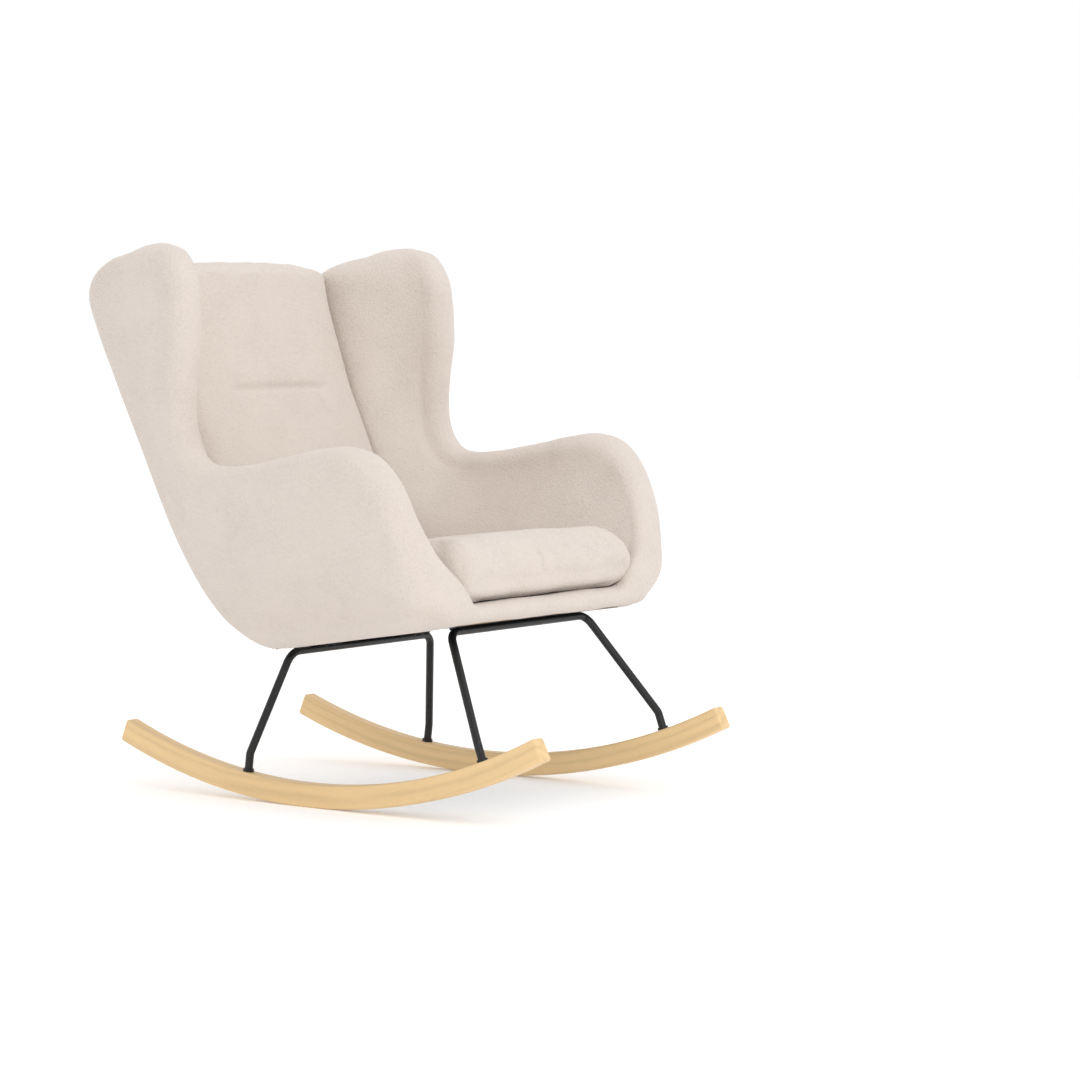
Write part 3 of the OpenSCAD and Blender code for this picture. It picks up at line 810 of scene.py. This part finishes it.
def build_deck():
    """The thin padded deck under the cushion: a low slab with a rounded edge and a slight sag."""
    u = np.sin(steps(61, -1, 1) * math.pi / 2)
    y = np.linspace(-396, -12, 60)[:, None]
    v = (y + 204) / 192
    edge = np.sqrt(np.clip(1 - np.abs(u) ** 14, 0, 1)) * np.sqrt(np.clip(1 - np.abs(v) ** 14, 0, 1))
    sag = 2.0 * (1 - u ** 2) * (1 - v ** 2)
    top = 31.5 + 4.8 * edge - sag
    low = 31.5 - 4.0 * edge
    x = np.broadcast_to(236 * u, top.shape)
    ring_x = there_and_back(x, x)
    ring_z = there_and_back(top, low)
    rings = np.stack([ring_x, np.broadcast_to(y, ring_x.shape), ring_z], -1)
    return loft("deck_cover", on_seat(rings) * MM)


def build_zip_teeth():
    """Two rows of small square teeth along the zip tape, as one mesh of boxes."""
    low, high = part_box("cushion_zip")
    count = 130
    x = np.linspace(low.x + 0.006, high.x - 0.006, count)
    centre = np.array(low) / 2 + np.array(high) / 2
    corners = np.array([[i, j, k] for i in (-1, 1) for j in (-1, 1) for k in (-1, 1)], float) / 2
    tooth = np.array([0.0016, 0.0012, 0.0026])
    across, along, up = np.array([1.0, 0, 0]), ALONG, UPWARD
    points = (x[:, None, None] * across + centre * [0, 1, 1]
              + 0.0012 * along + corners[None, :, :1] * tooth[0] * across
              + corners[None, :, 1:2] * tooth[1] * along + corners[None, :, 2:] * tooth[2] * up)
    shift = np.where(np.arange(count) % 2 == 0, 0.0009, -0.0009)[:, None, None] * up
    box = np.array([[0, 1, 3, 2], [4, 6, 7, 5], [0, 4, 5, 1], [2, 3, 7, 6], [0, 2, 6, 4], [1, 5, 7, 3]])
    faces = (np.arange(count)[:, None, None] * 8 + box[None]).reshape(-1, 4)
    teeth = mesh_of("zip_teeth", points + shift, faces.tolist())
    teeth.data.shade_flat()
    return teeth


# ---- steel ----
def rounded_path(corners, radii, arc=14):
    """A path through corners, each turned by an arc of its own radius."""
    path = [corners[0]]
    for before, corner, after, radius in zip(corners, corners[1:], corners[2:], radii):
        a = (before - corner) / np.linalg.norm(before - corner)
        b = (after - corner) / np.linalg.norm(after - corner)
        half = math.acos(np.clip(a @ b, -1, 1)) / 2
        reach = radius / math.tan(half)
        centre = corner + (a + b) / np.linalg.norm(a + b) * radius / math.sin(half)
        start, end = corner + a * reach - centre, corner + b * reach - centre
        angle = math.acos(np.clip(start @ end / radius ** 2, -1, 1))
        t = np.linspace(0, 1, arc)[:, None]
        path.extend(centre + (start * np.sin((1 - t) * angle) + end * np.sin(t * angle)) / math.sin(angle))
    path.append(corners[-1])
    return np.array(path)


def filled_path(path, gap):
    """The same path with points no farther apart than the gap."""
    step = np.linalg.norm(np.diff(path, axis=0), axis=1)
    at = np.concatenate([[0], np.cumsum(step)])
    wanted = np.unique(np.concatenate([at, np.linspace(0, at[-1], int(at[-1] / gap) + 2)]))
    return np.stack([np.interp(wanted, at, path[:, k]) for k in range(3)], 1)


def leg_frame(name, bar, foot_y, rod=7.0):
    """One bent rod: up from a runner, across under the seat and down to the other runner."""
    foot = on_radius(foot_y, ARC - ARC_DEPTH + 7.7)
    ankle = on_radius(foot_y, ARC - ARC_DEPTH - 32)
    corner = np.array([197.0, bar[1], bar[2]])
    flip = np.array([-1.0, 1, 1])
    corners = [foot, ankle, corner, corner * flip, ankle * flip, foot * flip]
    path = filled_path(rounded_path(corners, (22.0, 28.0, 28.0, 22.0)), 9.0)
    return tube(name, path * MM, rod * MM, 28)


def weld_beads():
    """Small beads of weld where each plate meets its bar: short fat tubes with a rippled radius."""
    rings = []
    for x in (-125, 125):
        for bar_y, side in ((0.0, -1), (-BAR_GAP, 1)):
            t = np.linspace(-19, 19, 64)
            path = on_seat(np.stack([t + x, np.full_like(t, bar_y + side * 6.0), np.full_like(t, -2.6)], 1))
            radius = 1.9 + 0.35 * np.sin(t * 2.4) + 0.25 * np.sin(t * 1.1 + x)
            rings.append((path * MM, radius * MM))
    beads = [tube(f"bead_{i}", path, radius, 12) for i, (path, radius) in enumerate(rings)]
    welds = joined(beads)
    welds.name = "weld_beads"
    return welds


# ---- wooden runners ----
def runner(name, sign, round_edge=3.5):
    """One bow: a rounded rectangle swept along the arc, with the grain's own coordinates stored."""
    first = math.asin((-REACH - GROUND_Y) / (ARC - ARC_DEPTH / 2))
    last = math.asin((REACH - GROUND_Y) / (ARC - ARC_DEPTH / 2))
    round_end = np.array([0, 0.4, 1.2, 2.4, 4.0])
    ends = round_end / ARC
    angle = np.concatenate([first + ends, np.linspace(first, last, 121)[1:-1], (last - ends)[::-1]])
    inset = np.concatenate([round_end[::-1], np.zeros(119), round_end])
    w, h, r = RUNNER_WIDTH / 2, ARC_DEPTH / 2, round_edge
    turn = np.linspace(0, math.pi / 2, 6)
    quarters = ((1, 1, turn), (-1, 1, turn + math.pi / 2), (-1, -1, turn + math.pi),
                (1, -1, turn + 1.5 * math.pi))
    section = np.concatenate([
        np.stack([right * (w - r) + r * np.cos(angles), top * (h - r) + r * np.sin(angles)], 1)
        for right, top, angles in quarters])
    shrink = 1 - inset[:, None] / np.array([w, h])
    a = section[None] * shrink[:, None, :]
    across, radial = a[..., 0], a[..., 1]
    radius = ARC - ARC_DEPTH / 2 + radial
    along = GROUND_Y + radius * np.sin(angle)[:, None]
    height = ARC - radius * np.cos(angle)[:, None]
    y = along - GROUND_Y
    x = SPACING / 2 + across * math.cos(TOE) - y * math.sin(TOE)
    rings = np.stack([sign * x, GROUND_Y + across * math.sin(TOE) + y * math.cos(TOE), height], -1)
    piece = loft(name, rings * MM)
    points = read_points(piece.data) / MM
    out = np.hypot(points[:, 1] - GROUND_Y, points[:, 2] - ARC)
    turned = np.arctan2(points[:, 1] - GROUND_Y, ARC - points[:, 2])
    grain = np.stack([turned * ARC, sign * points[:, 0] - SPACING / 2, out - ARC], 1) * MM
    grain[:, 0] += 0.6 * (sign > 0)  # so that the two runners aren't cut from the same wood
    layer = piece.data.attributes.new("along_grain", "FLOAT_VECTOR", "POINT")
    layer.data.foreach_set("vector", np.ascontiguousarray(grain, dtype=np.float32).ravel())
    return piece


# ---- dressing ----
def dress(piece, material, body, slot, *nodes):
    """Gives a piece its material, its body and the nodes it stands for."""
    piece.data.materials.clear()
    piece.data.materials.append(bpy.data.materials[material])
    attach(piece, body)
    if nodes:
        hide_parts(*nodes)
    return piece


def repaint(material, *nodes):
    """Gives CAD nodes a better material in their own slots."""
    for node in nodes:
        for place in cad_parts[node].material_slots:
            place.material = bpy.data.materials[material]


# ---- settings shown in the panel ----
class ChairSettings(bpy.types.PropertyGroup):
    """What can be set for the covers and the stage."""
    shell_grid: FloatProperty(name="Shell Grid", description="Size of the squares of the shell's cover",
                              default=0.0045, unit="LENGTH")
    back_grid: FloatProperty(name="Back Grid", description="Size of the squares of the back's cover",
                             default=0.005, unit="LENGTH")
    back_swell: FloatProperty(name="Back Swell", description="Farthest that air may push the back's cover",
                              default=0.004, unit="LENGTH")
    cushion_grid: FloatProperty(name="Cushion Grid", description="Size of the squares of the cushion's cover",
                                default=0.0045, unit="LENGTH")
    cushion_swell: FloatProperty(name="Cushion Swell",
                                 description="Farthest that air may push the cushion's cover",
                                 default=0.006, unit="LENGTH")
    cloth_colour: FloatVectorProperty(name="Cloth", description="Colour of the pile cloth", size=3,
                                      subtype="COLOR", default=(0.655, 0.585, 0.530))
    wood_colour: FloatVectorProperty(name="Wood", description="Colour of the runners", size=3,
                                     subtype="COLOR", default=(0.74, 0.525, 0.275))
    floor_colour: FloatVectorProperty(name="Floor", description="Colour of the studio floor", size=3,
                                      subtype="COLOR", default=(0.955, 0.955, 0.955))


class CHAIR_OT_materials(bpy.types.Operator):
    """Makes every material, from cloth and wood to steel, woven cloth and the floor"""
    bl_idname = "chair.materials"
    bl_label = "Materials"

    def execute(self, context):
        settings = context.scene.chair_settings
        for make in (make_pile_group, make_grain_group, make_weave_group, make_wear_group):
            make()
        pile_material("pile_cloth", tuple(settings.cloth_colour))
        wood_material("runner_wood", tuple(settings.wood_colour), 0.017, "along_grain")
        wood_material("timber", (0.55, 0.39, 0.22), 0.008, rough=0.6)
        wood_material("plywood_face", (0.60, 0.43, 0.25), 0.004, rough=0.6, figure=1.0)
        coated_steel("black_coat", (0.006, 0.006, 0.0065))
        bare_steel("zinc", (0.62, 0.63, 0.65))
        woven_material("webbing", (0.02, 0.02, 0.022), 0.0016)
        woven_material("dust_cloth", (0.025, 0.025, 0.027), 0.0008)
        woven_material("deck_cloth", (0.50, 0.44, 0.38), 0.0012)
        studio_material("studio_floor", tuple(settings.floor_colour))
        return {"FINISHED"}


class CHAIR_OT_shell(bpy.types.Operator):
    """Builds the padded sides and front edge as one upholstered cover"""
    bl_idname = "chair.shell"
    bl_label = "Shell Cover"

    def execute(self, context):
        shell = build_shell(context.scene.chair_settings)
        dress(shell, "pile_cloth", "chair", "cream_fabric", "left_wing_pad", "right_wing_pad",
              "left_arm_pad", "right_arm_pad", "left_outer_pad", "right_outer_pad", "front_rail_pad")
        return {"FINISHED"}


class CHAIR_OT_back(bpy.types.Operator):
    """Builds the stuffed back"""
    bl_idname = "chair.back"
    bl_label = "Back Cover"

    def execute(self, context):
        back = build_back(context.scene.chair_settings)
        dress(back, "pile_cloth", "chair", "cream_fabric", "inner_back_pad", "outer_back_pad")
        return {"FINISHED"}


class CHAIR_OT_cushion(bpy.types.Operator):
    """Builds the loose seat cushion and its zip"""
    bl_idname = "chair.cushion"
    bl_label = "Seat Cushion"

    def execute(self, context):
        cushion = build_cushion(context.scene.chair_settings)
        dress(cushion, "pile_cloth", "cushion", "cream_fabric", "cushion_cover", "cushion_foam")
        dress(build_zip_teeth(), "zinc", "cushion", "zinc_steel")
        deck = build_deck()
        dress(deck, "deck_cloth", "chair", "foam", "seat_deck_pad")
        return {"FINISHED"}


class CHAIR_OT_steel(bpy.types.Operator):
    """Builds the bent leg frames and their welds"""
    bl_idname = "chair.steel"
    bl_label = "Leg Frames"

    def execute(self, context):
        dress(leg_frame("rear_legs", REAR_BAR, FEET["rear"]), "black_coat", "chair", "black_steel",
              "rear_leg_frame")
        dress(leg_frame("front_legs", FRONT_BAR, FEET["front"]), "black_coat", "chair", "black_steel",
              "front_leg_frame")
        dress(weld_beads(), "black_coat", "chair", "black_steel")
        return {"FINISHED"}


class CHAIR_OT_runners(bpy.types.Operator):
    """Builds the two wooden runners"""
    bl_idname = "chair.runners"
    bl_label = "Runners"

    def execute(self, context):
        dress(runner("bow_left", 1), "runner_wood", "chair", "light_wood", "runner_left")
        dress(runner("bow_right", -1), "runner_wood", "chair", "light_wood", "runner_right")
        return {"FINISHED"}


class CHAIR_OT_frame(bpy.types.Operator):
    """Repaints the CAD pieces that are shown as they are"""
    bl_idname = "chair.frame"
    bl_label = "Frame Materials"

    def execute(self, context):
        repaint("zinc", "runner_bolts", "side_bolts", "zip_slider")
        repaint("black_coat", "leg_collars", "mount_plates", "plate_screws")
        repaint("timber", "front_rail", "rear_rail", "left_rail", "right_rail", "corner_blocks",
                "left_rear_post", "right_rear_post", "left_sill", "right_sill")
        repaint("plywood_face", "left_side_board", "right_side_board", "back_board")
        repaint("webbing", "seat_webbing", "cushion_zip")
        repaint("dust_cloth", "dust_cover")
        return {"FINISHED"}


def area_light(name, place, target, size, power, colour=(1, 1, 1)):
    """A square soft light that points at a target."""
    light = bpy.data.lights.new(name, "AREA")
    light.size = size
    light.energy = power
    light.color = colour
    lamp = bpy.data.objects.new(name, light)
    bpy.context.scene.collection.objects.link(lamp)
    lamp.location = place
    aim(lamp, target)
    return lamp


def aim(thing, target):
    """Turns a light or camera so that it looks at a target."""
    direction = np.array(target) - np.array(thing.location)
    direction /= np.linalg.norm(direction)
    bearing = math.atan2(direction[1], direction[0])
    thing.rotation_euler = (math.acos(-direction[2]), 0, bearing - math.pi / 2)


class CHAIR_OT_stage(bpy.types.Operator):
    """Adds the floor, the lights and the camera"""
    bl_idname = "chair.stage"
    bl_label = "Stage"

    def execute(self, context):
        scene = context.scene
        lines = np.linspace(-30, 30, 25)
        x, y = np.meshgrid(lines, lines, indexing="ij")
        quads = grid_quads(len(lines), len(lines), closed=False)
        floor = mesh_of("floor", np.stack([x, y, np.zeros_like(x)], -1), quads.tolist())
        floor.data.materials.append(bpy.data.materials["studio_floor"])
        if floor.data.polygons[0].normal.z < 0:
            floor.data.flip_normals()
        lamps = [area_light("key", (-1.0, -3.2, 2.7), (0.1, 0, 0.55), 2.2, 32, (1, 0.99, 0.98)),
                 area_light("top", (0.2, 0.3, 4.2), (0, 0, 0.3), 3.5, 16),
                 area_light("fill", (-3.4, -4.6, 1.1), (0, -0.1, 0.5), 3.0, 14)]
        world = bpy.data.worlds.new("studio")
        world.use_nodes = True
        background = world.node_tree.nodes["Background"]
        background.inputs["Color"].default_value = (1, 1, 1, 1)
        background.inputs["Strength"].default_value = 1.0
        scene.world = world
        camera = bpy.data.objects.new("camera", bpy.data.cameras.new("camera"))
        scene.collection.objects.link(camera)
        camera.location = (-4.818, -3.6905, 0.852)
        camera.data.lens = 116.2
        camera.data.sensor_width = 36
        aim(camera, (0.119, -0.175, 0.441))
        scene.camera = camera
        scene.view_settings.view_transform = "Standard"
        return {"FINISHED"}


STEPS = (CHAIR_OT_materials, CHAIR_OT_shell, CHAIR_OT_back, CHAIR_OT_cushion, CHAIR_OT_steel,
         CHAIR_OT_runners, CHAIR_OT_frame, CHAIR_OT_stage)


class CHAIR_PT_panel(bpy.types.Panel):
    """Lists the chair's settings and every step that builds it"""
    bl_label = "Rocking Chair"
    bl_space_type = "VIEW_3D"
    bl_region_type = "UI"
    bl_category = "Rocking Chair"

    def draw(self, context):
        for name in ChairSettings.__annotations__:
            self.layout.prop(context.scene.chair_settings, name)
        for step in STEPS:
            self.layout.operator(step.bl_idname)


def register():
    for kind in (ChairSettings, *STEPS, CHAIR_PT_panel):
        bpy.utils.register_class(kind)
    bpy.types.Scene.chair_settings = PointerProperty(type=ChairSettings)


def unregister():
    del bpy.types.Scene.chair_settings
    for kind in reversed((ChairSettings, *STEPS, CHAIR_PT_panel)):
        bpy.utils.unregister_class(kind)


def main():
    """Runs every step in turn."""
    register()
    for step in STEPS:
        group, name = step.bl_idname.split(".")
        getattr(getattr(bpy.ops, group), name)()


if __name__ == "__main__":
    main()
